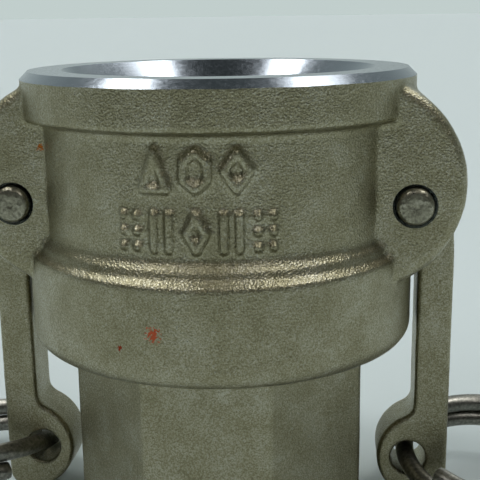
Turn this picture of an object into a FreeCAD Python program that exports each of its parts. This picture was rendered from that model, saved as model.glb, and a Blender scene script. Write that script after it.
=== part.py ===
import FreeCAD, Part
import math
import os
import re
import Sketcher
from FreeCAD import Placement, Rotation, Vector

# Female cam-and-groove hose coupler, one inch size, millimetres.
# Origin: centre of the wrench neck's bottom face, which the coupler stands on. +Z points out of
# the mouth, and the two cam arms hang along +X and -X, folded down in the locked position.

SIZES = {
    # Body casting, outside. Heights are above the bottom face.
    "overall_height": 62.1,
    "rim_radius": 26.5,
    "rim_chamfer": 1.1,
    "rim_depth": 6.0,
    "barrel_radius": 24.35,
    "barrel_fillet": 0.7,
    "ledge_width": 0.75,
    "ledge_top": 39.9,
    "band_overhang": 6.85,
    "band_top": 38.8,
    "band_bottom": 25.5,
    "band_edge_fillet": 2.2,
    "neck_flats": 39.2,
    "neck_corner_fillet": 0.8,
    "neck_foot_chamfer": 0.7,
    # Body casting, inside.
    "lead_in_width": 2.45,
    "lead_in_depth": 3.0,
    "bore_radius": 18.6,
    "socket_depth": 26.55,
    "waterway_radius": 12.7,
    "thread_wall_radius": 14.7,
    "thread_depth": 20.0,
    "thread_mouth_width": 2.2,
    "cut_overrun": 1.0,
    # Ears that carry the hinge pins, two on each side.
    "ear_radius": 13.7,
    "ear_set_in": 7.2,
    "ear_centre_rise": 2.4,
    "ear_thickness": 4.9,
    "ear_edge_fillet": 1.3,
    "slot_width": 14.6,
    # Hinge pins.
    "pin_depth": 16.7,
    "pin_radius": 2.38,
    "pin_proud": 0.9,
    "pin_dome_fillet": 1.3,
    "pin_interference": 0.01,
    "pin_hole_chamfer": 0.35,
    # Gasket.
    "gasket_lip": 1.3,
    "gasket_bore_inset": 0.8,
    "gasket_thickness": 6.35,
    "gasket_edge_fillet": 0.7,
    "gasket_side_gap": 0.1,
    "gasket_top_gap": 0.15,
    # Cam arms, measured from the hinge pin.
    "cam_hub_radius": 5.8,
    "cam_bite": 2.7,
    "cam_nose_radius": 3.4,
    "cam_nose_droop": 8.0,
    "cam_side_gap": 0.3,
    "cam_swing_gap": 0.4,
    "cam_bore_gap": 0.05,
    "cam_edge_fillet": 0.5,
    "arm_set_out": 1.3,
    "arm_band_gap": 0.65,
    "arm_foot_gap": 0.5,
    "arm_thickness": 4.9,
    "arm_width": 7.4,
    "arm_edge_fillet": 0.8,
    "arm_shoulder_drop": 8.0,
    "eye_radius": 6.8,
    "eye_set_out": 3.1,
    "eye_crotch_fillet": 2.0,
    "eye_corner_fillet": 2.6,
    "ring_hole_gap": 1.1,
    "ring_hole_set_out": 0.75,
    "ring_hole_fillet": 0.5,
    # Pull rings, split rings of round wire.
    "wire_radius": 1.3,
    "ring_mean_radius": 13.0,
    "coil_gap": 0.08,
    "coil_turns": 1.75,
    "ring_droop": 5.0,
    "ring_roll": 10.0,
    "ring_slack": 0.27,
}

# Sizes that follow from the ones above, so that what fits together stays together.
BAND_RADIUS = "(neck_flats / 2 + band_overhang)"
LEDGE_RADIUS = "(barrel_radius + ledge_width)"
LEAD_IN_RADIUS = "(bore_radius + lead_in_width)"
THREAD_MOUTH_RADIUS = "(thread_wall_radius + thread_mouth_width)"
EAR_WIDTH = "(slot_width + 2 * ear_thickness)"
PIN_ACROSS = f"({BAND_RADIUS} + arm_band_gap - arm_set_out)"
GASKET_RADIUS = "(bore_radius + gasket_lip)"
GASKET_BORE = "(waterway_radius + gasket_bore_inset)"
GASKET_SEAT = "(overall_height - socket_depth - gasket_thickness)"
PIN_HEIGHT = "(overall_height - pin_depth)"
CAM_REACH = f"({PIN_ACROSS} - bore_radius + cam_bite)"
EYE_DROP = f"({PIN_HEIGHT} - eye_radius - arm_foot_gap)"
RING_HOLE_RADIUS = "(wire_radius + ring_hole_gap)"
COIL_PITCH = "(2 * wire_radius + coil_gap)"

document = FreeCAD.newDocument("CamlockCoupling")
sheet = document.addObject("Spreadsheet::Sheet", "Sizes")
for row, (alias, value) in enumerate(SIZES.items(), start=1):
    sheet.set(f"A{row}", alias)
    sheet.set(f"B{row}", str(value))
    sheet.setAlias(f"B{row}", alias)
document.recompute()


def linked(formula):
    """A formula with each size name written as a link to its cell."""
    return re.sub(r"[a-z]+(?:_[a-z]+)+", lambda name: "Sizes." + name.group(), formula)


def number(formula):
    """The present value of a formula of sizes."""
    return float(sheet.evalExpression(linked(formula)))


def bind(feature, prop, formula):
    """Ties a property to a formula of sizes."""
    setattr(feature, prop, number(formula))
    feature.setExpression(prop, linked(formula))


def origin_part(body, role):
    """One of a body's own origin planes or axes."""
    return next(item for item in body.Origin.OriginFeatures if item.Role == role)


def new_body(label):
    """An empty body whose label names its file."""
    body = document.addObject("PartDesign::Body", label)
    body.Label = label
    return body


def new_sketch(body, name, plane, offset=("0", "0", "0")):
    """A sketch on one of a body's origin planes, its own origin moved by an offset."""
    sketch = body.newObject("Sketcher::SketchObject", name)
    sketch.AttachmentSupport = [(origin_part(body, plane), "")]
    sketch.MapMode = "FlatFace"
    for axis, formula in zip("xyz", offset):
        if formula != "0":
            sketch.setExpression(f"AttachmentOffset.Base.{axis}", linked(formula))
    return sketch


def hold(sketch, kind, geometry, point, formula):
    """Ties one coordinate of a sketch point to a formula."""
    index = sketch.addConstraint(Sketcher.Constraint(kind, -1, 1, geometry, point, number(formula)))
    sketch.setExpression(f"Constraints[{index}]", linked(formula))


def hold_radius(sketch, geometry, formula):
    """Ties the radius of a circle or an arc to a formula."""
    index = sketch.addConstraint(Sketcher.Constraint("Radius", geometry, number(formula)))
    sketch.setExpression(f"Constraints[{index}]", linked(formula))


def short_arc(start, end, radius, side):
    """The short arc from start to end whose centre lies on its left (1) or right (-1)."""
    chord = end - start
    across = Vector(-chord.y, chord.x, 0).normalize() * side
    centre = (start + end) / 2 + across * math.sqrt(radius ** 2 - (chord.Length / 2) ** 2)
    return Part.Arc(start, centre - across * radius, end)


def draw_outline(sketch, corners):
    """A closed outline. Each corner is a pair of formulas, and a corner with a radius and a
    side after them starts an arc to the next corner instead of a straight line."""
    places = [Vector(number(item[0]), number(item[1]), 0) for item in corners]
    first = sketch.GeometryCount
    count = len(corners)
    ends = []
    for index, item in enumerate(corners):
        start, end = places[index], places[(index + 1) % count]
        if len(item) == 2:
            sketch.addGeometry(Part.LineSegment(start, end), False)
            ends.append((1, 2))
        else:
            sketch.addGeometry(short_arc(start, end, number(item[2]), item[3]), False)
            ends.append((1, 2) if item[3] > 0 else (2, 1))
    for index, item in enumerate(corners):
        geometry = first + index
        following = (index + 1) % count
        joined = (geometry, ends[index][1], first + following, ends[following][0])
        sketch.addConstraint(Sketcher.Constraint("Coincident", *joined))
        hold(sketch, "DistanceX", geometry, ends[index][0], item[0])
        hold(sketch, "DistanceY", geometry, ends[index][0], item[1])
        if len(item) > 2:
            hold_radius(sketch, geometry, item[2])


def draw_circle(sketch, across, up, radius):
    """A circle whose centre and radius are formulas."""
    centre = Vector(number(across), number(up), 0)
    index = sketch.addGeometry(Part.Circle(centre, Vector(0, 0, 1), number(radius)), False)
    hold(sketch, "DistanceX", index, 3, across)
    hold(sketch, "DistanceY", index, 3, up)
    hold_radius(sketch, index, radius)


def add_feature(body, kind, name, sketch):
    """A sketch-based feature at the end of a body."""
    feature = body.newObject("PartDesign::" + kind, name)
    feature.Profile = sketch
    return feature


def pad_both_ways(body, name, sketch, width):
    """A pad that stands half its width to each side of its sketch."""
    feature = add_feature(body, "Pad", name, sketch)
    feature.SideType = "Symmetric"
    bind(feature, "Length", width)
    document.recompute()
    return feature


def cut_both_ways(body, name, sketch, width):
    """A pocket that goes half its width to each side of its sketch, and must remove something."""
    before = body.Shape.Volume
    feature = add_feature(body, "Pocket", name, sketch)
    feature.SideType = "Symmetric"
    bind(feature, "Length", width)
    document.recompute()
    if body.Shape.Volume >= before:
        raise RuntimeError(name + " removed nothing")
    return feature


def turn(body, kind, name, sketch):
    """A full turn of a sketch about the upright line of its own plane."""
    feature = add_feature(body, kind, name, sketch)
    feature.ReferenceAxis = (sketch, ["V_Axis"])
    feature.Angle = 360
    document.recompute()
    return feature


def mirror(body, name, original):
    """Copies a feature to the other side of the body's YZ plane."""
    feature = body.newObject("PartDesign::Mirrored", name)
    feature.Originals = [original]
    feature.MirrorPlane = (origin_part(body, "YZ_Plane"), [""])
    body.Tip = feature
    document.recompute()
    return feature


def soften(body, kind, name, base, chosen, prop, formula):
    """A fillet or chamfer on the edges of a feature that a test chooses."""
    edges = [f"Edge{index}" for index, edge in enumerate(base.Shape.Edges, start=1) if chosen(edge)]
    if not edges:
        raise RuntimeError(name + " found no edge")
    feature = body.newObject("PartDesign::" + kind, name)
    feature.Base = (base, edges)
    bind(feature, prop, formula)
    document.recompute()
    return feature


def same(first, second):
    """True when two lengths agree to a micrometre."""
    return abs(first - second) < 1e-3


def is_circle(edge):
    """True for whole circles and parts of circles."""
    return edge.Curve.TypeId == "Part::GeomCircle"


def ring_edge(radius, height):
    """A test for edges that are circles about the upright axis, of a given size and height."""
    def chosen(edge):
        if not is_circle(edge):
            return False
        curve = edge.Curve
        centred = same(curve.Center.x, 0) and same(curve.Center.y, 0)
        return centred and same(curve.Radius, number(radius)) and same(curve.Center.z, number(height))
    return chosen


def side_circle(radius, width):
    """A test for circles of a given size that lie in a flat side facing +Y or -Y."""
    def chosen(edge):
        if not is_circle(edge):
            return False
        on_side = same(abs(edge.Curve.Center.y), number(width) / 2)
        return on_side and same(edge.Curve.Radius, number(radius))
    return chosen


def in_side_face(width):
    """A test for edges that lie wholly in one of the two flat sides of a lever."""
    def chosen(edge):
        box = edge.BoundBox
        return same(box.YMin, box.YMax) and same(abs(box.YMin), number(width) / 2)
    return chosen


def in_bottom_face(edge):
    """True for edges that lie in the bottom face."""
    return same(edge.BoundBox.ZMax, 0)


# Coupler body: one casting. The turned outside of the band, barrel and rim comes first, then
# the octagonal neck and the ears. The lathe and drill cuts follow, as on the real one.
coupler = new_body("coupler_body")

outside_sketch = new_sketch(coupler, "TurnedOutside", "XZ_Plane")
rim_underside = "overall_height - rim_depth"
draw_outline(outside_sketch, [
    ("0", "band_bottom"),
    (BAND_RADIUS, "band_bottom"),
    (BAND_RADIUS, "band_top"),
    (LEDGE_RADIUS, "ledge_top"),
    ("barrel_radius", "ledge_top"),
    ("barrel_radius", rim_underside),
    ("rim_radius", rim_underside),
    ("rim_radius", "overall_height - rim_chamfer"),
    ("rim_radius - rim_chamfer", "overall_height"),
    ("0", "overall_height"),
])
outside = turn(coupler, "Revolution", "BandBarrelRim", outside_sketch)
band_foot = ring_edge(BAND_RADIUS, "band_bottom")
rounded_band = soften(coupler, "Fillet", "BandFoot", outside, band_foot, "Radius", "band_edge_fillet")
barrel_foot = ring_edge("barrel_radius", "ledge_top")
barrel_head = ring_edge("barrel_radius", rim_underside)
soften(
    coupler, "Fillet", "BarrelEnds", rounded_band,
    lambda edge: barrel_foot(edge) or barrel_head(edge), "Radius", "barrel_fillet",
)

# Wrench neck: eight flats joined by small rounds, with its foot chamfered.
NECK_SIDES = 8
half_turn = 180 / NECK_SIDES
half_flat = f"(neck_flats / 2 - neck_corner_fillet) * tan({half_turn})"
neck_corners = []
for side in range(NECK_SIDES):
    facing = side * 2 * half_turn
    for along, *bend in ((f"-{half_flat}",), (half_flat, "neck_corner_fillet", 1)):
        neck_corners.append((
            f"neck_flats / 2 * cos({facing}) - ({along}) * sin({facing})",
            f"neck_flats / 2 * sin({facing}) + ({along}) * cos({facing})",
            *bend,
        ))
neck_sketch = new_sketch(coupler, "NeckOutline", "XY_Plane")
draw_outline(neck_sketch, neck_corners)
neck = add_feature(coupler, "Pad", "Neck", neck_sketch)
bind(neck, "Length", "band_bottom + band_edge_fillet")
document.recompute()
soften(coupler, "Chamfer", "NeckFoot", neck, in_bottom_face, "Size", "neck_foot_chamfer")

# Ears: discs about a line parallel to the hinge pins, their outer edges rounded.
ear_sketch = new_sketch(
    coupler, "EarSection", "XY_Plane",
    (f"{PIN_ACROSS} - ear_set_in", "0", f"{PIN_HEIGHT} + ear_centre_rise"),
)
ear_face = EAR_WIDTH + " / 2"
ear_edge = "ear_radius - ear_edge_fillet"
draw_outline(ear_sketch, [
    ("0", "slot_width / 2"),
    ("ear_radius", "slot_width / 2"),
    ("ear_radius", ear_face + " - ear_edge_fillet", "ear_edge_fillet", 1),
    (ear_edge, ear_face),
    ("0", ear_face),
])
draw_outline(ear_sketch, [
    ("0", "-slot_width / 2"),
    ("0", "-" + ear_face),
    (ear_edge, "-" + ear_face, "ear_edge_fillet", 1),
    ("ear_radius", "ear_edge_fillet - " + ear_face),
    ("ear_radius", "-slot_width / 2"),
])
ears = turn(coupler, "Revolution", "Ears", ear_sketch)
mirror(coupler, "EarsOtherSide", ears)

# Lathe work inside: lead-in, bore, gasket recess, waterway and the plain wall of the thread.
inside_sketch = new_sketch(coupler, "TurnedInside", "XZ_Plane")
recess_radius = GASKET_RADIUS + " + gasket_side_gap"
recess_top = "overall_height - socket_depth + gasket_top_gap"
draw_outline(inside_sketch, [
    ("0", "-cut_overrun"),
    (THREAD_MOUTH_RADIUS, "-cut_overrun"),
    (THREAD_MOUTH_RADIUS, "0"),
    ("thread_wall_radius", "thread_mouth_width"),
    ("thread_wall_radius", "thread_depth"),
    ("waterway_radius", "thread_depth + thread_wall_radius - waterway_radius"),
    ("waterway_radius", GASKET_SEAT),
    (recess_radius, GASKET_SEAT),
    (recess_radius, recess_top),
    ("bore_radius", recess_top),
    ("bore_radius", "overall_height - lead_in_depth"),
    (LEAD_IN_RADIUS, "overall_height"),
    (LEAD_IN_RADIUS, "overall_height + cut_overrun"),
    ("0", "overall_height + cut_overrun"),
])
solid_volume = coupler.Shape.Volume
turn(coupler, "Groove", "Bore", inside_sketch)
if coupler.Shape.Volume >= solid_volume:
    raise RuntimeError("Bore removed nothing")

# Cam windows: round reliefs about the hinge pins, as wide as the slot between the ears.
window_sketch = new_sketch(coupler, "CamWindowOutline", "XZ_Plane")
draw_circle(window_sketch, PIN_ACROSS, PIN_HEIGHT, f"{CAM_REACH} + cam_swing_gap")
window = cut_both_ways(coupler, "CamWindow", window_sketch, "slot_width")
mirror(coupler, "CamWindowOtherSide", window)

# Pin holes, drilled straight through both ears.
pin_hole_radius = "pin_radius - pin_interference"
pin_hole_sketch = new_sketch(coupler, "PinHoleOutline", "XZ_Plane")
draw_circle(pin_hole_sketch, PIN_ACROSS, PIN_HEIGHT, pin_hole_radius)
pin_hole = cut_both_ways(coupler, "PinHole", pin_hole_sketch, "2 * " + EAR_WIDTH)
pin_holes = mirror(coupler, "PinHoleOtherSide", pin_hole)
pin_mouth = side_circle(pin_hole_radius, EAR_WIDTH)
soften(coupler, "Chamfer", "PinHoleMouths", pin_holes, pin_mouth, "Size", "pin_hole_chamfer")

# Gasket: a moulded ring on its seat, a little smaller than its recess.
gasket = new_body("gasket")
gasket_sketch = new_sketch(gasket, "GasketSection", "XZ_Plane", ("0", GASKET_SEAT, "0"))
draw_outline(gasket_sketch, [
    (GASKET_BORE, "0"),
    (GASKET_RADIUS, "0"),
    (GASKET_RADIUS, "gasket_thickness"),
    (GASKET_BORE, "gasket_thickness"),
])
ring_blank = turn(gasket, "Revolution", "Ring", gasket_sketch)
soften(gasket, "Fillet", "MouldedEdges", ring_blank, is_circle, "Radius", "gasket_edge_fillet")


def hang_on_pin(body, side):
    """Puts a piece made about a hinge pin on its pin, turned half round on the left side."""
    body.Placement.Rotation = Rotation(Vector(0, 0, 1), 0 if side > 0 else 180)
    body.setExpression("Placement.Base.x", linked(f"{side} * {PIN_ACROSS}"))
    body.setExpression("Placement.Base.z", linked(PIN_HEIGHT))


def make_pin(label, side):
    """Hinge pin: plain rod with domed ends, pressed through a pair of ears."""
    pin = new_body(label)
    sketch = new_sketch(pin, "PinSection", "XZ_Plane")
    draw_circle(sketch, "0", "0", "pin_radius")
    rod = pad_both_ways(pin, "Rod", sketch, EAR_WIDTH + " + 2 * pin_proud")
    soften(pin, "Fillet", "DomedEnds", rod, is_circle, "Radius", "pin_dome_fillet")
    hang_on_pin(pin, side)


def make_arm(label, side):
    """Cam arm: a narrow shank with a finger eye at its foot, and a wider cam round the pin
    whose nose reaches into the bore while the arm hangs straight down."""
    arm = new_body(label)

    # The shank's outline runs down its inner edge, round the eye and up its outer edge.
    outer = "arm_set_out + arm_thickness"
    crotch_across = "(eye_set_out - arm_set_out + eye_crotch_fillet)"
    crotch_rise = f"sqrt((eye_radius + eye_crotch_fillet) ^ 2 - {crotch_across} ^ 2)"
    eye_share = "eye_radius / (eye_radius + eye_crotch_fillet)"
    foot = f"arm_foot_gap - {PIN_HEIGHT}"
    shank_sketch = new_sketch(arm, "ShankOutline", "XZ_Plane")
    draw_outline(shank_sketch, [
        ("arm_set_out", "cam_hub_radius * sin(40)"),
        ("arm_set_out", f"{crotch_rise} - {EYE_DROP}", "eye_crotch_fillet", -1),
        (f"eye_set_out - {crotch_across} * {eye_share}",
         f"{crotch_rise} * {eye_share} - {EYE_DROP}", "eye_radius", 1),
        ("eye_set_out - eye_radius", "-" + EYE_DROP, "eye_radius", 1),
        ("eye_set_out", foot),
        (f"{outer} - eye_corner_fillet", foot, "eye_corner_fillet", 1),
        (outer, foot + " + eye_corner_fillet"),
        (outer, "-arm_shoulder_drop"),
        ("cam_hub_radius", "0"),
        ("cam_hub_radius * cos(40)", "cam_hub_radius * sin(40)"),
    ])
    shank = pad_both_ways(arm, "Shank", shank_sketch, "arm_width")
    soften(arm, "Fillet", "ShankEdges", shank, in_side_face("arm_width"), "Radius", "arm_edge_fillet")

    # The cam is a hub and a nose joined by their outer tangents.
    nose_out = f"({CAM_REACH} - cam_nose_radius)"
    droop = "cam_nose_droop * 1deg"
    spread = f"acos((cam_hub_radius - cam_nose_radius) / {nose_out})"
    below = f"(180deg + {droop} + {spread})"
    above = f"(180deg + {droop} - {spread})"
    nose_across = f"-{nose_out} * cos({droop})"
    nose_up = f"-{nose_out} * sin({droop})"
    cam_width = "slot_width - 2 * cam_side_gap"
    cam_sketch = new_sketch(arm, "CamOutline", "XZ_Plane")
    draw_outline(cam_sketch, [
        (f"cam_hub_radius * cos({below})", f"cam_hub_radius * sin({below})", "cam_hub_radius", 1),
        (f"cam_hub_radius * cos({droop})", f"cam_hub_radius * sin({droop})", "cam_hub_radius", 1),
        (f"cam_hub_radius * cos({above})", f"cam_hub_radius * sin({above})"),
        (f"{nose_across} + cam_nose_radius * cos({above})",
         f"{nose_up} + cam_nose_radius * sin({above})", "cam_nose_radius", 1),
        (f"{nose_across} + cam_nose_radius * cos({below})",
         f"{nose_up} + cam_nose_radius * sin({below})"),
    ])
    cam = pad_both_ways(arm, "Cam", cam_sketch, cam_width)
    soften(arm, "Fillet", "CamEdges", cam, in_side_face(cam_width), "Radius", "cam_edge_fillet")

    pivot_sketch = new_sketch(arm, "PivotHoleOutline", "XZ_Plane")
    draw_circle(pivot_sketch, "0", "0", "pin_radius + cam_bore_gap")
    cut_both_ways(arm, "PivotHole", pivot_sketch, "slot_width")
    eye_sketch = new_sketch(arm, "EyeHoleOutline", "XZ_Plane")
    draw_circle(eye_sketch, "ring_hole_set_out", "-" + EYE_DROP, RING_HOLE_RADIUS)
    eye_hole = cut_both_ways(arm, "EyeHole", eye_sketch, "slot_width")
    eye_mouth = side_circle(RING_HOLE_RADIUS, "arm_width")
    soften(arm, "Fillet", "EyeHoleMouths", eye_hole, eye_mouth, "Radius", "ring_hole_fillet")
    hang_on_pin(arm, side)


def make_ring(label, side):
    """Pull ring: round wire coiled one turn and three quarters, so that a single strand goes
    through the arm's eye and both cut ends lie just beside it."""
    ring = new_body(label)
    sketch = new_sketch(ring, "WireSection", "XZ_Plane")
    draw_circle(sketch, "ring_mean_radius", "0", "wire_radius")
    coil = add_feature(ring, "AdditiveHelix", "Coil", sketch)
    coil.ReferenceAxis = (sketch, ["V_Axis"])
    coil.Mode = "pitch-turns-angle"
    bind(coil, "Pitch", COIL_PITCH)
    bind(coil, "Turns", "coil_turns")
    coil.LeftHanded = True
    document.recompute()

    # The middle of the coil is brought to the eye's axis, then the ring is rolled along the
    # arm's width, drooped outwards and moved out to the eye.
    half_turned = Rotation(Vector(0, 0, 1), 180 + 180 * number("coil_turns"))
    centred = Placement(Vector(0, 0, -number(f"{COIL_PITCH} * coil_turns / 2")), half_turned)
    beside = Placement(Vector(number("ring_mean_radius - ring_slack"), 0, 0), Rotation())
    rolled = Placement(Vector(), Rotation(Vector(1, 0, 0), number("ring_roll")))
    drooped = Placement(Vector(), Rotation(Vector(0, 1, 0), number("ring_droop")))
    eye_across = number(f"{PIN_ACROSS} + ring_hole_set_out")
    eye = Vector(eye_across, 0, number("eye_radius + arm_foot_gap"))
    other_side = Rotation(Vector(0, 0, 1), 0 if side > 0 else 180)
    outward = Placement(Vector(), other_side) * Placement(eye, Rotation())
    ring.Placement = outward * drooped * rolled * beside * centred


SIDES = {"left": -1, "right": 1}
for name, side in SIDES.items():
    make_pin("hinge_pin_" + name, side)
    make_arm("cam_arm_" + name, side)
    make_ring("pull_ring_" + name, side)
document.recompute()

for item in document.Objects:
    if "Invalid" in item.State or "Error" in item.State:
        raise RuntimeError(f"{item.Label} failed: {item.State}")
os.makedirs("parts", exist_ok=True)
for body in document.findObjects("PartDesign::Body"):
    shape = body.Shape
    if shape.isNull() or not shape.isValid() or len(shape.Solids) != 1:
        raise RuntimeError(body.Label + " isn't one valid solid")
    shape.exportStep(f"parts/{body.Label}.step")
    print(f"{body.Label}: {shape.Volume / 1000:.3f} cm3")
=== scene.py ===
import math

import bmesh
import bpy
from mathutils import Matrix, Quaternion, Vector


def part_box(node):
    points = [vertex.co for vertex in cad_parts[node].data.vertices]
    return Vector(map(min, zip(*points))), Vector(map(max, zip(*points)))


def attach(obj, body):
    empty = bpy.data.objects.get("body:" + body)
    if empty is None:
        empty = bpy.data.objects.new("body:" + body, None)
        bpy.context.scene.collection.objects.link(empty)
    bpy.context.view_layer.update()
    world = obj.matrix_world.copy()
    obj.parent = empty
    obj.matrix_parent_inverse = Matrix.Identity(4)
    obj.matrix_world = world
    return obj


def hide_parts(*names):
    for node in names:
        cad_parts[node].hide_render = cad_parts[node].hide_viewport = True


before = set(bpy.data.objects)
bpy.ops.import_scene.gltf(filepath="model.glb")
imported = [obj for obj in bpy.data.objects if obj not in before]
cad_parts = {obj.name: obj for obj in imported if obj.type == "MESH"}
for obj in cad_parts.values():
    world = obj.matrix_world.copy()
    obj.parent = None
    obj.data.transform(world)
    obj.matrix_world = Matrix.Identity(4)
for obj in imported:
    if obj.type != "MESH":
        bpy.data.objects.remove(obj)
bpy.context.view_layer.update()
MM = 0.001

# Coupler body, the blank. The real one is an investment casting in 316 stainless: an octagonal
# wrench neck, a stepped round barrel under a heavy rim, and two pairs of ears. It is built here
# as solid lumps that a fine remesh joins, so that every corner comes out soft like a casting's.
RIM_TOP = 62.1
RIM_RADIUS = 26.5
RIM_UNDERSIDE = 56.1
BARREL_RADIUS = 24.35
LEDGE_TOP = 39.9
LEDGE_RADIUS = 25.1
BAND_TOP = 38.8
BAND_RADIUS = 26.45
BAND_BOTTOM = 25.5
BAND_ROUND = 2.2
NECK_FLATS = 39.2
NECK_ROUND = 0.8
EAR_ACROSS = 18.6
EAR_HEIGHT = 47.8
EAR_RADIUS = 13.7
EAR_ROUND = 1.3
EAR_WIDTH = 24.4
EAR_STEPS = 96
FACING_STOCK = 1.5
FOOT_STOCK = 2.0
NECK_CORNER_STEPS = 4
TURNED_STEPS = 256
BLANK_VOXEL = 0.4


def bend(across, up, radius, start, end, steps=6):
    """Points of an arc in a section, angles in degrees."""
    angles = [math.radians(start + (end - start) * i / steps) for i in range(steps + 1)]
    return [(across + radius * math.cos(a), up + radius * math.sin(a)) for a in angles]


def add_lump(mesh, lump, place, finish):
    """Adds a closed lump to a mesh, moved to its place and marked with its finish."""
    bmesh.ops.remove_doubles(lump, verts=lump.verts, dist=1e-3 * MM)
    bmesh.ops.recalc_face_normals(lump, faces=lump.faces)
    bmesh.ops.transform(lump, matrix=place, verts=lump.verts)
    for face in lump.faces:
        face.material_index = finish
        face.smooth = True
    data = bpy.data.meshes.new("lump")
    lump.to_mesh(data)
    lump.free()
    mesh.from_mesh(data)
    bpy.data.meshes.remove(data)


def turned(mesh, section, steps=TURNED_STEPS, place=Matrix(), finish=0):
    """Adds a closed section (radius, height) in mm, turned about the upright axis."""
    lump = bmesh.new()
    corners = [lump.verts.new((r * MM, 0, h * MM)) for r, h in section]
    edges = [lump.edges.new(pair) for pair in zip(corners, corners[1:] + corners[:1])]
    bmesh.ops.spin(
        lump, geom=corners + edges, cent=(0, 0, 0), axis=(0, 0, 1),
        angle=math.tau, steps=steps, use_merge=True,
    )
    add_lump(mesh, lump, place, finish)


def pressed(mesh, outline, low, high, place=Matrix(), finish=0):
    """Adds a prism: a closed outline (x, y) in mm between two heights."""
    lump = bmesh.new()
    bottom = [lump.verts.new((x * MM, y * MM, low * MM)) for x, y in outline]
    top = [lump.verts.new((x * MM, y * MM, high * MM)) for x, y in outline]
    lump.faces.new(bottom)
    lump.faces.new(top)
    for wall in zip(bottom, bottom[1:] + bottom[:1], top[1:] + top[:1], top):
        lump.faces.new(wall)
    add_lump(mesh, lump, place, finish)


def piece(name, mesh, *materials):
    """A new object from a bmesh, smooth shaded."""
    data = bpy.data.meshes.new(name)
    mesh.to_mesh(data)
    mesh.free()
    data.shade_smooth()
    made = bpy.data.objects.new(name, data)
    bpy.context.scene.collection.objects.link(made)
    for material in materials:
        data.materials.append(material)
    return made


def settle(made):
    """Makes a piece's modifiers into its mesh."""
    depsgraph = bpy.context.evaluated_depsgraph_get()
    data = bpy.data.meshes.new_from_object(made.evaluated_get(depsgraph))
    made.modifiers.clear()
    made.data = data


def remesh(made, voxel):
    """Joins the lumps of a piece into one even skin."""
    skin = made.modifiers.new("skin", "REMESH")
    skin.mode = "VOXEL"
    skin.voxel_size = voxel * MM
    skin.use_smooth_shade = True
    settle(made)


blank = bmesh.new()
octagon = []
for side in range(8):
    facing = math.radians(45 * side)
    half = (NECK_FLATS / 2 - NECK_ROUND) * math.tan(math.radians(22.5))
    corner = Vector((NECK_FLATS / 2 - NECK_ROUND, half))
    for step in range(NECK_CORNER_STEPS + 1):
        turn = math.radians(45 * step / NECK_CORNER_STEPS)
        rounded = corner + Vector((math.cos(turn), math.sin(turn))) * NECK_ROUND
        octagon.append(tuple(Matrix.Rotation(facing, 2) @ rounded))
pressed(blank, octagon, -FOOT_STOCK, BAND_BOTTOM + BAND_ROUND)
turned(blank, [
    (0, BAND_BOTTOM), *bend(BAND_RADIUS - BAND_ROUND, BAND_BOTTOM + BAND_ROUND, BAND_ROUND, -90, 0),
    *bend(BAND_RADIUS - 0.9, BAND_TOP - 0.85, 0.9, 0, 65),
    (LEDGE_RADIUS + 0.32, BAND_TOP + 0.1), (LEDGE_RADIUS + 0.26, BAND_TOP + 0.6),
    *bend(LEDGE_RADIUS - 0.55, LEDGE_TOP - 0.3, 0.75, 10, 60),
    (BARREL_RADIUS + 0.25, LEDGE_TOP + 0.7), (BARREL_RADIUS + 0.07, LEDGE_TOP + 1.1),
    (BARREL_RADIUS, LEDGE_TOP + 1.7),
    (BARREL_RADIUS, RIM_UNDERSIDE - 0.3), (RIM_RADIUS, RIM_UNDERSIDE),
    (RIM_RADIUS, RIM_TOP + FACING_STOCK), (0, RIM_TOP + FACING_STOCK),
])
for way in (-1, 1):
    for face in (-1, 1):
        upright = Matrix.Translation(Vector((way * EAR_ACROSS, 0, EAR_HEIGHT)) * MM)
        rounding = bend(EAR_RADIUS - EAR_ROUND, EAR_WIDTH / 2 - EAR_ROUND, EAR_ROUND, 0, 90)
        turned(
            blank,
            [(0, 0), (EAR_RADIUS, 0)] + rounding + [(0, EAR_WIDTH / 2)],
            EAR_STEPS, upright @ Matrix.Rotation(math.radians(-90 * face), 4, "X"),
        )
body = piece("coupler_body_cast", blank)
remesh(body, BLANK_VOXEL)

# Slots between the ears, and the round pockets that let the cams through the barrel wall. They
# are cored in the mould, so they are cut before the last remesh and come out soft too.
PIN_ACROSS = 25.8
PIN_HEIGHT = 45.4
SLOT_WIDTH = 14.6
CAM_SWEEP = 10.3
POCKET_STEPS = 128


def cut(made, tool):
    """Cuts a tool out of a piece. The cut faces keep the tool's finish."""
    boolean = made.modifiers.new("cut", "BOOLEAN")
    boolean.operation = "DIFFERENCE"
    boolean.solver = "MANIFOLD"
    boolean.material_mode = "TRANSFER"
    boolean.object = tool
    settle(made)
    bpy.data.objects.remove(tool)


cores = bmesh.new()
core_half = SLOT_WIDTH / 2
for way in (-1, 1):
    pin_line = Matrix.Translation(Vector((way * PIN_ACROSS, 0, PIN_HEIGHT)) * MM)
    pocket = [(0, -core_half), (CAM_SWEEP, -core_half), (CAM_SWEEP, core_half), (0, core_half)]
    turned(cores, pocket, POCKET_STEPS, pin_line @ Matrix.Rotation(math.radians(90), 4, "X"))
cut(body, piece("pocket_cores", cores))
cores = bmesh.new()
for way in (-1, 1):
    reach = EAR_ACROSS + EAR_RADIUS + 2
    slot = [(x * way, y) for x in (BARREL_RADIUS, reach) for y in (-core_half, core_half)]
    pressed(cores, [slot[0], slot[2], slot[3], slot[1]], BAND_TOP + 0.2, RIM_UNDERSIDE)
cut(body, piece("slot_cores", cores))

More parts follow.
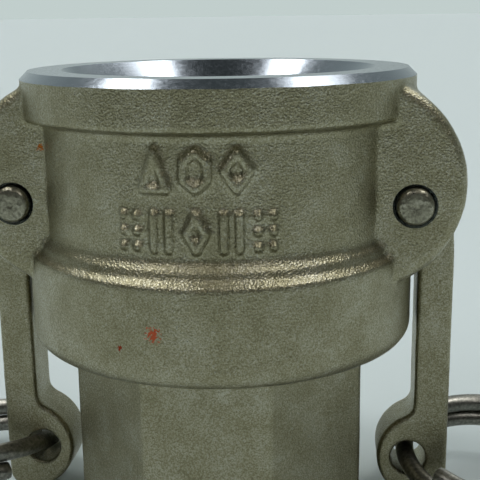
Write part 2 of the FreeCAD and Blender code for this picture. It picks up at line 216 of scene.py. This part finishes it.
# Foundry marks, raised on the front of the barrel in two rows. They are plain shapes that say
# nothing, drawn as strokes of small beads that melt into the wall with the last remesh.
MARK_STROKE = 0.62
MARK_RISE = 0.1
BEAD_STEP = 0.35
SKIN_VOXEL = 0.26
TRIANGLE = [[(-0.5, -0.5), (0, 0.5), (0.5, -0.5), (-0.5, -0.5)]]
DIAMOND = [[(0, 0.5), (0.5, 0), (0, -0.5), (-0.5, 0), (0, 0.5)]]
HEXAGON = [[
    (0, 0.5), (0.45, 0.25), (0.45, -0.25), (0, -0.5), (-0.45, -0.25), (-0.45, 0.25), (0, 0.5),
]]
BARS = [[(x, -0.5), (x, 0.5)] for x in (-0.42, 0.42)]
PIPS = [[(x, y), (x, y)] for x in (-0.42, 0.42) for y in (-0.46, 0, 0.46)]
MARK_ROWS = [
    (51.7, (3.0, 4.3), [(-11.2, TRIANGLE), (0.0, HEXAGON), (11.2, DIAMOND)]),
    (44.5, (2.2, 4.0), [(-19.0, PIPS), (-9.6, BARS), (0.0, DIAMOND), (9.6, BARS), (19.0, PIPS)]),
]


def weather(made, rounds, depth, swell):
    """Softens the corners of a cast piece, then gives its skin the waves of its mould, which lie
    almost wholly inward, so that the piece stays inside its drawn size."""
    soft = made.modifiers.new("soft", "SMOOTH")
    soft.factor = 0.5
    soft.iterations = rounds
    for name, size, strength in (("waves", swell, depth), ("pits", 0.9, depth * 0.45)):
        pattern = bpy.data.textures.new(made.name + "_" + name, "CLOUDS")
        pattern.noise_scale = size * MM
        pattern.noise_depth = 2
        push = made.modifiers.new(name, "DISPLACE")
        push.texture = pattern
        push.texture_coords = "LOCAL"
        push.mid_level = 0.9
        push.strength = strength * MM
    settle(made)


marks = bmesh.new()
marks.from_mesh(body.data)
bead_radius = BARREL_RADIUS + MARK_RISE
for height, (width, tall), row in MARK_ROWS:
    for facing, strokes in row:
        for stroke in strokes:
            for start, end in zip(stroke, stroke[1:]):
                start = Vector((start[0] * width, start[1] * tall))
                end = Vector((end[0] * width, end[1] * tall))
                beads = max(1, round((end - start).length / BEAD_STEP))
                for bead in range(beads + 1):
                    along, up = start.lerp(end, bead / beads)
                    turn = math.radians(facing) + along / BARREL_RADIUS
                    spot = Vector((math.sin(turn), -math.cos(turn), 0)) * bead_radius
                    spot.z = height + up
                    bmesh.ops.create_icosphere(
                        marks, subdivisions=2, radius=MARK_STROKE * MM,
                        matrix=Matrix.Translation(spot * MM),
                    )
marks.to_mesh(body.data)
marks.free()
remesh(body, SKIN_VOXEL)
weather(body, rounds=2, depth=0.10, swell=5.0)


def shader(node_tree, kind, links=None, stops=(), **settings):
    """Adds a node, sets its sockets, properties and colour stops, and links what feeds it."""
    node = node_tree.nodes.new("ShaderNode" + kind)
    for name, value in settings.items():
        setattr(node, name, value)
    for name, value in (links or {}).items():
        socket = node.inputs[name]
        if isinstance(value, bpy.types.NodeSocket):
            node_tree.links.new(value, socket)
        else:
            socket.default_value = value
    if stops:
        elements = node.color_ramp.elements
        while len(elements) < len(stops):
            elements.new(0.5)
        for element, (place, colour) in zip(elements, stops):
            element.position = place
            element.color = colour
    return node


def linear(code, alpha=1.0):
    """A linear colour from an sRGB hex value."""
    parts = [int(code[i:i + 2], 16) / 255 for i in (1, 3, 5)]
    return (*(c / 12.92 if c <= 0.04045 else ((c + 0.055) / 1.055) ** 2.4 for c in parts), alpha)


def surface(name):
    """An empty material with its Principled shader, ready to be wired."""
    material = bpy.data.materials.new(name)
    material.use_nodes = True
    tree = material.node_tree
    return material, tree, tree.nodes["Principled BSDF"]


CLOUD_SIZE = 4.0
CLOUD_SHARE = 0.28
GRAIN_HEIGHT = 0.048
RING_HEIGHT = 0.0025


def cast_stainless(name, dark, mid, pale, grit=0.2, stains=()):
    """Investment-cast 316 stainless, bead blasted: an olive grey skin of fine bright grains, whose
    facets glint where a lamp's reflection passes. Grit is the grain size in mm, drawn coarser than
    the real one, by a guess about twice, so that it shows. Stains are (place, radius, colour), in mm."""
    material, tree, metal = surface(name)
    place = shader(tree, "TexCoord").outputs["Object"]
    clouds = shader(tree, "TexNoise", {"Vector": place, "Scale": 1 / (CLOUD_SIZE * MM), "Detail": 4.0})
    grains = shader(tree, "TexNoise", {
        "Vector": place, "Scale": 1 / (grit * MM), "Detail": 2.0, "Roughness": 0.6,
    })
    cloudy = shader(tree, "Math", {
        0: clouds.outputs["Fac"], 1: CLOUD_SHARE,
    }, operation="MULTIPLY")
    grainy = shader(tree, "Math", {
        0: grains.outputs["Fac"], 1: 1 - CLOUD_SHARE,
    }, operation="MULTIPLY")
    tone = shader(tree, "Math", {0: cloudy.outputs[0], 1: grainy.outputs[0]}, operation="ADD")
    colour = shader(
        tree, "ValToRGB", {"Fac": tone.outputs[0]},
        stops=((0.36, linear(dark)), (0.5, linear(mid)), (0.64, linear(pale))),
    ).outputs["Color"]
    for spot, radius, stain in stains:
        reach = shader(tree, "VectorMath", {0: place, 1: Vector(spot) * MM}, operation="DISTANCE")
        speckle = shader(tree, "TexNoise", {"Vector": place, "Scale": 1 / (0.3 * MM), "Detail": 3.0})
        near = shader(tree, "MapRange", {
            "Value": reach.outputs["Value"], "From Min": 0.0, "From Max": radius * MM,
            "To Min": 0.62, "To Max": 0.0,
        })
        amount = shader(tree, "Math", {
            0: near.outputs["Result"], 1: speckle.outputs["Fac"],
        }, operation="ADD")
        mask = shader(tree, "MapRange", {
            "Value": amount.outputs[0], "From Min": 0.86, "From Max": 0.98,
        })
        colour = shader(tree, "MixRGB", {
            "Fac": mask.outputs["Result"], "Color1": colour, "Color2": linear(stain),
        }).outputs["Color"]
    tree.links.new(colour, metal.inputs["Base Color"])
    metal.inputs["Metallic"].default_value = 1.0
    rough = shader(tree, "MapRange", {
        "Value": grains.outputs["Fac"], "From Min": 0.3, "From Max": 0.7,
        "To Min": 0.43, "To Max": 0.27,
    })
    tree.links.new(rough.outputs["Result"], metal.inputs["Roughness"])
    pocks = shader(tree, "TexVoronoi", {"Vector": place, "Scale": 1 / (grit * 1.4 * MM)})
    height = shader(tree, "Math", {
        0: grains.outputs["Fac"], 1: pocks.outputs["Distance"],
    }, operation="ADD")
    bump = shader(tree, "Bump", {
        "Height": height.outputs[0], "Strength": 1.0, "Distance": GRAIN_HEIGHT * MM,
    })
    tree.links.new(bump.outputs["Normal"], metal.inputs["Normal"])
    return material


def turned_stainless(name, tint, groove, roughness):
    """Stainless faced in a lathe: bright and cool, with fine rings left by the tool and a few
    nicks. Groove is the feed of the tool in mm, drawn coarser than the real one."""
    material, tree, metal = surface(name)
    place = shader(tree, "TexCoord").outputs["Object"]
    parts = shader(tree, "SeparateXYZ", {"Vector": place})
    flat = shader(tree, "CombineXYZ", {"X": parts.outputs["X"], "Y": parts.outputs["Y"]})
    radius = shader(tree, "VectorMath", {0: flat.outputs["Vector"]}, operation="LENGTH")
    track = shader(tree, "CombineXYZ", {"X": radius.outputs["Value"], "Z": parts.outputs["Z"]})
    rings = shader(tree, "TexNoise", {
        "Vector": track.outputs["Vector"], "Scale": 1 / (groove * MM), "Detail": 2.0,
    })
    nicks = shader(tree, "TexNoise", {"Vector": place, "Scale": 1 / (0.5 * MM), "Detail": 4.0})
    metal.inputs["Base Color"].default_value = linear(tint)
    metal.inputs["Metallic"].default_value = 1.0
    dull = shader(tree, "MapRange", {
        "Value": nicks.outputs["Fac"], "From Min": 0.35, "From Max": 0.7,
        "To Min": roughness, "To Max": roughness + 0.08,
    })
    tree.links.new(dull.outputs["Result"], metal.inputs["Roughness"])
    scar = shader(tree, "MapRange", {
        "Value": nicks.outputs["Fac"], "From Min": 0.66, "From Max": 0.72,
    })
    height = shader(tree, "Math", {
        0: rings.outputs["Fac"], 1: scar.outputs["Result"],
    }, operation="ADD")
    bump = shader(tree, "Bump", {
        "Height": height.outputs[0], "Strength": 1.0, "Distance": RING_HEIGHT * MM,
    })
    tree.links.new(bump.outputs["Normal"], metal.inputs["Normal"])
    return material


RUST_SPOTS = (
    ((-21.6, -12.2, 52.7), 1.1, "#a4602a"),
    ((-5.1, -25.95, 32.7), 2.2, "#b4563a"),
    ((-9.5, -24.7, 30.5), 0.9, "#8a3420"),
)
cast = cast_stainless("cast_stainless_blasted", "#7d785e", "#938e73", "#aeab99", stains=RUST_SPOTS)
faced = turned_stainless("turned_stainless_bright", "#9299a0", groove=0.3, roughness=0.17)

# Coupler body, the lathe and drill work: the faced mouth with its chamfer, the lead-in, the
# polished bore, the gasket's recess, the waterway, the pipe thread and the pin holes.
BORE_RADIUS = 18.6
CHAMFER = 1.1
LEAD_IN_RADIUS = 21.05
LEAD_IN_DEPTH = 3.0
WATERWAY_RADIUS = 12.7
RECESS_RADIUS = 20.0
RECESS_TOP = 35.7
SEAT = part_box("gasket")[0].z / MM
THREAD_WALL = 14.7
THREAD_MOUTH = 16.9
THREAD_TOP = 20.0
lathe = bmesh.new()
turned(lathe, [
    (0, -1), (THREAD_MOUTH, -1), (THREAD_MOUTH, 0), (THREAD_WALL, THREAD_MOUTH - THREAD_WALL),
    (THREAD_WALL, THREAD_TOP), (WATERWAY_RADIUS, THREAD_TOP + THREAD_WALL - WATERWAY_RADIUS),
    (WATERWAY_RADIUS, SEAT), (RECESS_RADIUS, SEAT), (RECESS_RADIUS, RECESS_TOP),
    (BORE_RADIUS, RECESS_TOP), (BORE_RADIUS, RIM_TOP - LEAD_IN_DEPTH), (LEAD_IN_RADIUS, RIM_TOP),
    (RIM_RADIUS - CHAMFER, RIM_TOP), (RIM_RADIUS + 2, RIM_TOP - CHAMFER - 2),
    (RIM_RADIUS + 2, RIM_TOP + 3), (0, RIM_TOP + 3),
], finish=1)
body.data.materials.clear()
body.data.materials.append(cast)
body.data.materials.append(faced)
cut(body, piece("lathe_tool", lathe, cast, faced))

# Pipe thread, tapped into the foot: a helix with a taper of 1 in 16 on its diameter. The tap's
# teeth start a little inside the hole, so that each one cuts clean through the face of the wall.
PITCH = 25.4 / 11.5
THREAD_DEPTH = 1.3
CREST = 0.35
TAPER = 16
TAP_STEPS = 64
TAP_TURNS = 8
OVERRUN = 0.3
FLANK_GAP = 0.12
tap = bmesh.new()
tooth = [
    (THREAD_WALL - OVERRUN, -PITCH / 2 + FLANK_GAP), (THREAD_WALL + THREAD_DEPTH, -CREST / 2),
    (THREAD_WALL + THREAD_DEPTH, CREST / 2), (THREAD_WALL - OVERRUN, PITCH / 2 - FLANK_GAP),
]
loops = []
for step in range(TAP_STEPS * TAP_TURNS + 1):
    angle = math.tau * step / TAP_STEPS
    rise = -PITCH + PITCH * step / TAP_STEPS
    shrink = 1 - rise / TAPER / THREAD_WALL / 2
    across, along = shrink * math.cos(angle), shrink * math.sin(angle)
    loops.append([
        tap.verts.new(Vector((r * across, r * along, h + rise)) * MM)
        for r, h in tooth
    ])
for low, high in zip(loops, loops[1:]):
    for i in range(4):
        tap.faces.new((low[i], low[(i + 1) % 4], high[(i + 1) % 4], high[i]))
tap.faces.new(loops[0])
tap.faces.new(loops[-1][::-1])
bmesh.ops.recalc_face_normals(tap, faces=tap.faces)
for face in tap.faces:
    face.material_index = 1
cut(body, piece("pipe_tap", tap, cast, faced))

# Pin holes, drilled through each pair of ears from both faces. Their mouths are lightly
# countersunk.
PIN_RADIUS = 2.38
HOLE_RADIUS = PIN_RADIUS + 0.14
SINK = 0.35
HOLE_STEPS = 48
drill = bmesh.new()
for way in (-1, 1):
    for face in (-1, 1):
        across = Matrix.Translation(Vector((way * PIN_ACROSS, 0, PIN_HEIGHT)) * MM)
        across = across @ Matrix.Rotation(math.radians(-90 * face), 4, "X")
        turned(drill, [
            (0, 3), (HOLE_RADIUS, 3), (HOLE_RADIUS, EAR_WIDTH / 2 - SINK),
            (HOLE_RADIUS + SINK + 1, EAR_WIDTH / 2 + 1), (0, EAR_WIDTH / 2 + 1),
        ], HOLE_STEPS, across, finish=1)
cut(body, piece("pin_drill", drill, cast, faced))

# Foot, faced flat across the end of the neck, which takes off the stock left by the mould.
CUTTER_HALF = 40
CUTTER_DEPTH = 5.0
foot = bmesh.new()
square = [(-CUTTER_HALF, -CUTTER_HALF), (CUTTER_HALF, -CUTTER_HALF)]
square += [(CUTTER_HALF, CUTTER_HALF), (-CUTTER_HALF, CUTTER_HALF)]
pressed(foot, square, -CUTTER_DEPTH, 0.0, finish=1)
cut(body, piece("foot_facing", foot, cast, faced))

# Edges are crisp only where a tool has cut. The cast skin stays smooth.
CRISP_ANGLE = 30
crisp = bmesh.new()
crisp.from_mesh(body.data)
for edge in crisp.edges:
    machined = any(face.material_index for face in edge.link_faces)
    edge.smooth = not (machined and edge.calc_face_angle(0) > math.radians(CRISP_ANGLE))
crisp.to_mesh(body.data)
crisp.free()
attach(body, "root")
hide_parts("coupler_body")

# Hinge pins. Plain 316 rod, cut off, tumbled and pressed through the ears, so that each end
# stands out as a low dome with a faint centre mark.
ROD_STEPS = 64
pin_steel = cast_stainless("drawn_rod_tumbled", "#6a675b", "#84816f", "#9c9989", grit=0.45)
for side, way in (("left", -1), ("right", 1)):
    node = "hinge_pin_" + side
    low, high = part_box(node)
    half = (high.y - low.y) / 2 / MM
    dome = [(0, half - 0.08), (0.35, half - 0.07), (0.55, half), (1.2, half - 0.04)]
    dome += bend(PIN_RADIUS - 0.75, half - 0.85, 0.75, 80, 0, 6)
    section = dome + [(r, -h) for r, h in reversed(dome)]
    rod = bmesh.new()
    centre = Matrix.Translation((low + high) / 2) @ Matrix.Rotation(math.radians(90), 4, "X")
    turned(rod, section, ROD_STEPS, centre)
    pin = piece(node + "_domed", rod, pin_steel)
    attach(pin, "root")
    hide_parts(node)

# Cam arms. One investment casting each, blasted like the body: a finger eye at the foot of a
# flat shank, and a wide cam on the pin.
ARM_VOXEL = 0.24
for side in ("left", "right"):
    node = "cam_arm_" + side
    arm = bpy.data.objects.new(node + "_cast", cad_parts[node].data.copy())
    bpy.context.scene.collection.objects.link(arm)
    remesh(arm, ARM_VOXEL)
    weather(arm, rounds=2, depth=0.07, swell=4.0)
    arm.data.materials.clear()
    arm.data.materials.append(cast)
    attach(arm, "arm_" + side)
    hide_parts(node)

# Pull rings. Drawn 316 wire coiled one turn and three quarters, its two ends sheared off and
# left bright and rough.
WIRE_RADIUS = 1.3
RING_RADIUS = 13.0
COIL_PITCH = 2.68
COIL_TURNS = 1.75
RING_DROOP = 5.0
RING_ROLL = 10.0
RING_SLACK = 0.27
EYE_ACROSS = 26.55
EYE_HEIGHT = 7.3
WIRE_SIDES = 32
COIL_STEPS = 224
END_SQUEEZE = 0.93
END_ANGLE = 50
UP = Vector((0, 0, 1))
wire_material, tree, metal = surface("drawn_wire_stainless")
place = shader(tree, "TexCoord").outputs["Object"]
streaks = shader(tree, "TexNoise", {"Vector": place, "Scale": 1 / (0.4 * MM), "Detail": 3.0})
tone = shader(
    tree, "ValToRGB", {"Fac": streaks.outputs["Fac"]},
    stops=((0.3, linear("#6f6e67")), (0.7, linear("#9b998f"))),
)
tree.links.new(tone.outputs["Color"], metal.inputs["Base Color"])
metal.inputs["Metallic"].default_value = 1.0
metal.inputs["Roughness"].default_value = 0.36
bump = shader(tree, "Bump", {
    "Height": streaks.outputs["Fac"], "Strength": 0.4, "Distance": 0.02 * MM,
})
tree.links.new(bump.outputs["Normal"], metal.inputs["Normal"])
sheared = cast_stainless("sheared_wire_end", "#8b8a84", "#a5a49d", "#c4c3bd", grit=0.35)
for side, way in (("left", -1), ("right", 1)):
    wire = bmesh.new()
    rings = []
    for step in range(COIL_STEPS + 1):
        angle = math.tau * COIL_TURNS * (step / COIL_STEPS - 0.5)
        out = Vector((math.cos(angle), -math.sin(angle), 0))
        centre = out * RING_RADIUS + Vector((0, 0, COIL_PITCH * angle / math.tau))
        squeeze = END_SQUEEZE if step in (0, COIL_STEPS) else 1.0
        around = [math.tau * i / WIRE_SIDES for i in range(WIRE_SIDES)]
        rings.append([
            wire.verts.new(
                centre + (out * math.cos(a) + UP * math.sin(a)) * WIRE_RADIUS * squeeze
            )
            for a in around
        ])
    for low, high in zip(rings, rings[1:]):
        for i in range(WIRE_SIDES):
            wire.faces.new((low[i], low[(i + 1) % WIRE_SIDES], high[(i + 1) % WIRE_SIDES], high[i]))
    for end in (rings[0], rings[-1]):
        wire.faces.new(end).material_index = 1
    bmesh.ops.recalc_face_normals(wire, faces=wire.faces)
    half_turned = Matrix.Rotation(math.pi, 4, "Z")
    beside = Matrix.Translation((RING_RADIUS - RING_SLACK, 0, 0))
    rolled = Matrix.Rotation(math.radians(RING_ROLL), 4, "X")
    drooped = Matrix.Rotation(math.radians(RING_DROOP), 4, "Y")
    eye = Matrix.Translation((EYE_ACROSS, 0, EYE_HEIGHT))
    other_side = Matrix.Rotation(0 if way > 0 else math.pi, 4, "Z")
    placed = Matrix.Scale(MM, 4) @ other_side @ eye @ drooped @ rolled @ beside @ half_turned
    bmesh.ops.transform(wire, matrix=placed, verts=wire.verts)
    ring = piece(f"pull_ring_{side}_wire", wire, wire_material, sheared)
    ring.data.set_sharp_from_angle(angle=math.radians(END_ANGLE))
    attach(ring, "ring_" + side)
    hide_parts("pull_ring_" + side)

# Gasket. A moulded ring of nitrile rubber, matt black with a little dust. It is pressed by hand
# into the recess behind the bore, and lies on its seat there.
rubber, tree, skin = surface("nitrile_rubber_moulded")
place = shader(tree, "TexCoord").outputs["Object"]
dust = shader(tree, "TexNoise", {"Vector": place, "Scale": 1 / (2.5 * MM), "Detail": 5.0})
bloom = shader(
    tree, "ValToRGB", {"Fac": dust.outputs["Fac"]},
    stops=((0.35, linear("#1c1c1b")), (0.75, linear("#33322f"))),
)
tree.links.new(bloom.outputs["Color"], skin.inputs["Base Color"])
skin.inputs["Roughness"].default_value = 0.62
pores = shader(tree, "TexNoise", {"Vector": place, "Scale": 1 / (0.35 * MM), "Detail": 2.0})
bump = shader(tree, "Bump", {
    "Height": pores.outputs["Fac"], "Strength": 0.4, "Distance": 0.03 * MM,
})
tree.links.new(bump.outputs["Normal"], skin.inputs["Normal"])
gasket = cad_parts["gasket"]
gasket.data.materials.clear()
gasket.data.materials.append(rubber)

# Floor: a wide sheet of pale paper, matt and plain, that the coupler stands on.
FLOOR_RADIUS = 40.0
floor_mesh = bmesh.new()
bmesh.ops.create_circle(floor_mesh, cap_ends=True, segments=128, radius=FLOOR_RADIUS)
paper, tree, matt = surface("pale_paper")
matt.inputs["Base Color"].default_value = linear("#c6d0d0")
matt.inputs["Roughness"].default_value = 0.9
matt.inputs["Specular IOR Level"].default_value = 0.1
floor = piece("floor", floor_mesh, paper)


# Light: two soft lamps overhead, one to each side, and a pale room that is dark in front, which
# is what the metal reflects.
def sun(name, toward, angle, power, tint):
    """A far lamp that shines from a direction, as wide as an angle in degrees."""
    light = bpy.data.lights.new(name, "SUN")
    light.angle = math.radians(angle)
    light.energy = power
    light.color = linear(tint)[:3]
    made = bpy.data.objects.new(name, light)
    made.rotation_euler = Vector(toward).to_track_quat("Z", "Y").to_euler()
    bpy.context.scene.collection.objects.link(made)


sun("left_lamp", (-0.48, 0.02, 0.87), 14, 0.45, "#ffffff")
sun("right_lamp", (0.48, 0.02, 0.87), 14, 0.36, "#ffffff")

# Two long strip lights hang overhead, one to each side, and run from front to back.
STRIP_LEAN = 29
STRIP_WIDTH = 12
STRIP_POWER = 3.8
world = bpy.data.worlds.new("studio")
world.use_nodes = True
bpy.context.scene.world = world
tree = world.node_tree
toward = shader(tree, "SeparateXYZ", {"Vector": shader(tree, "TexCoord").outputs["Generated"]})
depth = shader(tree, "MapRange", {
    "Value": toward.outputs["Y"], "From Min": -0.5, "From Max": 0.45, "To Min": 0.0, "To Max": 1.0,
})
walls = shader(
    tree, "ValToRGB", {"Fac": depth.outputs["Result"]},
    stops=((0.0, linear("#1d1d1a")), (1.0, linear("#b4c0bf"))),
)
overhead = shader(tree, "MapRange", {
    "Value": toward.outputs["Z"], "From Min": 0.3, "From Max": 0.85, "To Min": 1.0, "To Max": 0.42,
})
across = shader(tree, "MapRange", {
    "Value": toward.outputs["X"], "From Min": -1.0, "From Max": 1.0, "To Min": 1.2, "To Max": 0.8,
})
dimmed = shader(tree, "VectorMath", {
    0: walls.outputs["Color"], "Scale": overhead.outputs["Result"],
}, operation="SCALE")
lean = shader(tree, "Math", {
    0: toward.outputs["X"], 1: toward.outputs["Z"],
}, operation="ARCTAN2")
lean = shader(tree, "Math", {0: lean.outputs[0]}, operation="ABSOLUTE")
off_strip = shader(tree, "Math", {
    0: lean.outputs[0], 1: math.radians(STRIP_LEAN), 2: math.radians(STRIP_WIDTH / 2),
}, operation="COMPARE")
along_strip = shader(tree, "MapRange", {
    "Value": shader(tree, "Math", {0: toward.outputs["Y"]}, operation="ABSOLUTE").outputs[0],
    "From Min": 0.7, "From Max": 0.85, "To Min": STRIP_POWER, "To Max": 0.0,
})
strips = shader(tree, "Math", {
    0: off_strip.outputs[0], 1: along_strip.outputs["Result"],
}, operation="MULTIPLY")
lit = shader(tree, "VectorMath", {
    0: dimmed.outputs["Vector"], 1: strips.outputs[0],
}, operation="ADD")
room = shader(tree, "VectorMath", {
    0: lit.outputs["Vector"], "Scale": across.outputs["Result"],
}, operation="SCALE")
seen = shader(tree, "MixRGB", {
    "Fac": shader(tree, "LightPath").outputs["Is Camera Ray"],
    "Color1": room.outputs["Vector"], "Color2": linear("#c1cecc"),
})
tree.links.new(seen.outputs["Color"], tree.nodes["Background"].inputs["Color"])
tree.nodes["Background"].inputs["Strength"].default_value = 1.0
bpy.context.scene.view_settings.view_transform = "Standard"

# Camera: a long lens close by, a little above the rim and to its right, looking down at the barrel.
CAMERA_AT = Vector((15.6, -129.5, 68.9)) * MM
CAMERA_AIM = Vector((2.6, 0, 38.0)) * MM
CAMERA_ROLL = -0.75
view = bpy.data.cameras.new("camera")
view.lens = 71.25
view.sensor_width = 36.0
view.clip_start = 0.01
camera = bpy.data.objects.new("camera", view)
camera.location = CAMERA_AT
aim = CAMERA_AIM - camera.location
roll = Quaternion((0, 0, 1), math.radians(CAMERA_ROLL))
camera.rotation_mode = "QUATERNION"
camera.rotation_quaternion = aim.to_track_quat("-Z", "Y") @ roll
bpy.context.scene.collection.objects.link(camera)
bpy.context.scene.camera = camera
